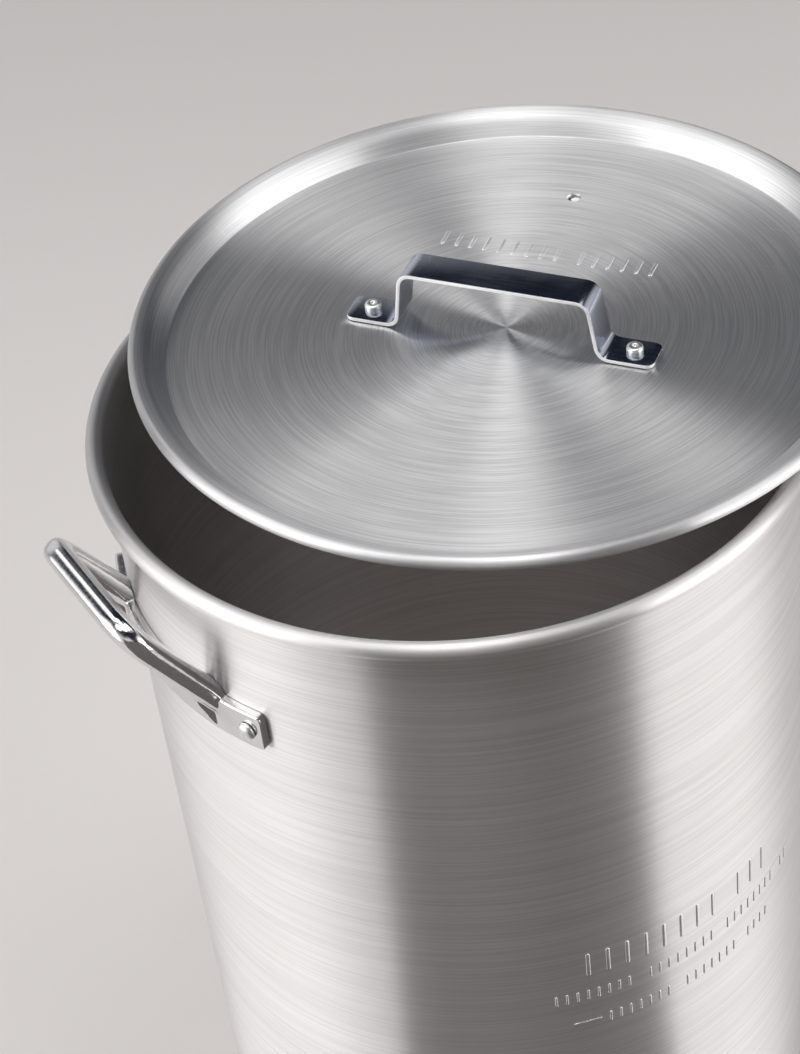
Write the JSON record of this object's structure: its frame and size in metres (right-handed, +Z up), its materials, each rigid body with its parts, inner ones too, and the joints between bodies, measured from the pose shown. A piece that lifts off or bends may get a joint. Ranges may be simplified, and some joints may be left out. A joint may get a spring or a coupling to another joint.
{
  "type": "brew kettle",
  "caption": "Tall aluminium brew kettle with a rolled rim, riveted loop handles and a loose recessed lid with a riveted strap handle, lying off-centre on the rim.",
  "frame": {"origin": "centre of the flat base, on the surface that the kettle stands on", "axes": "+Z up along the kettle's axis; the two loop handles face +X and -X"},
  "size_m": [0.4061, 0.3612, 0.4967],
  "materials": {
    "body_aluminium": "spun aluminium, fine turned brushing round the wall, satin",
    "lid_aluminium": "spun aluminium, fine turned brushing round the lid's centre, satin to bright",
    "rivet_aluminium": "satin, slightly hammered",
    "handle_chrome": "bright chrome plating over a casting",
    "strap_steel": "polished stainless strip with pale cut edges"
  },
  "bodies": {
    "kettle": {"kettle_body": "body_aluminium", "side_handle_left": "handle_chrome", "side_handle_right": "handle_chrome", "side_rivet_left_front": "rivet_aluminium", "side_rivet_left_rear": "rivet_aluminium", "side_rivet_right_front": "rivet_aluminium", "side_rivet_right_rear": "rivet_aluminium"},
    "lid": {"lid_shell": "lid_aluminium", "lid_handle_strap": "strap_steel", "lid_rivet_left": "rivet_aluminium", "lid_rivet_right": "rivet_aluminium"}
  },
  "joints": [
    {"name": "lid_lift", "type": "slide", "parent": "kettle", "child": "lid", "axis": [0, 0, 1], "range_m": [0, 0.25]}
  ]
}
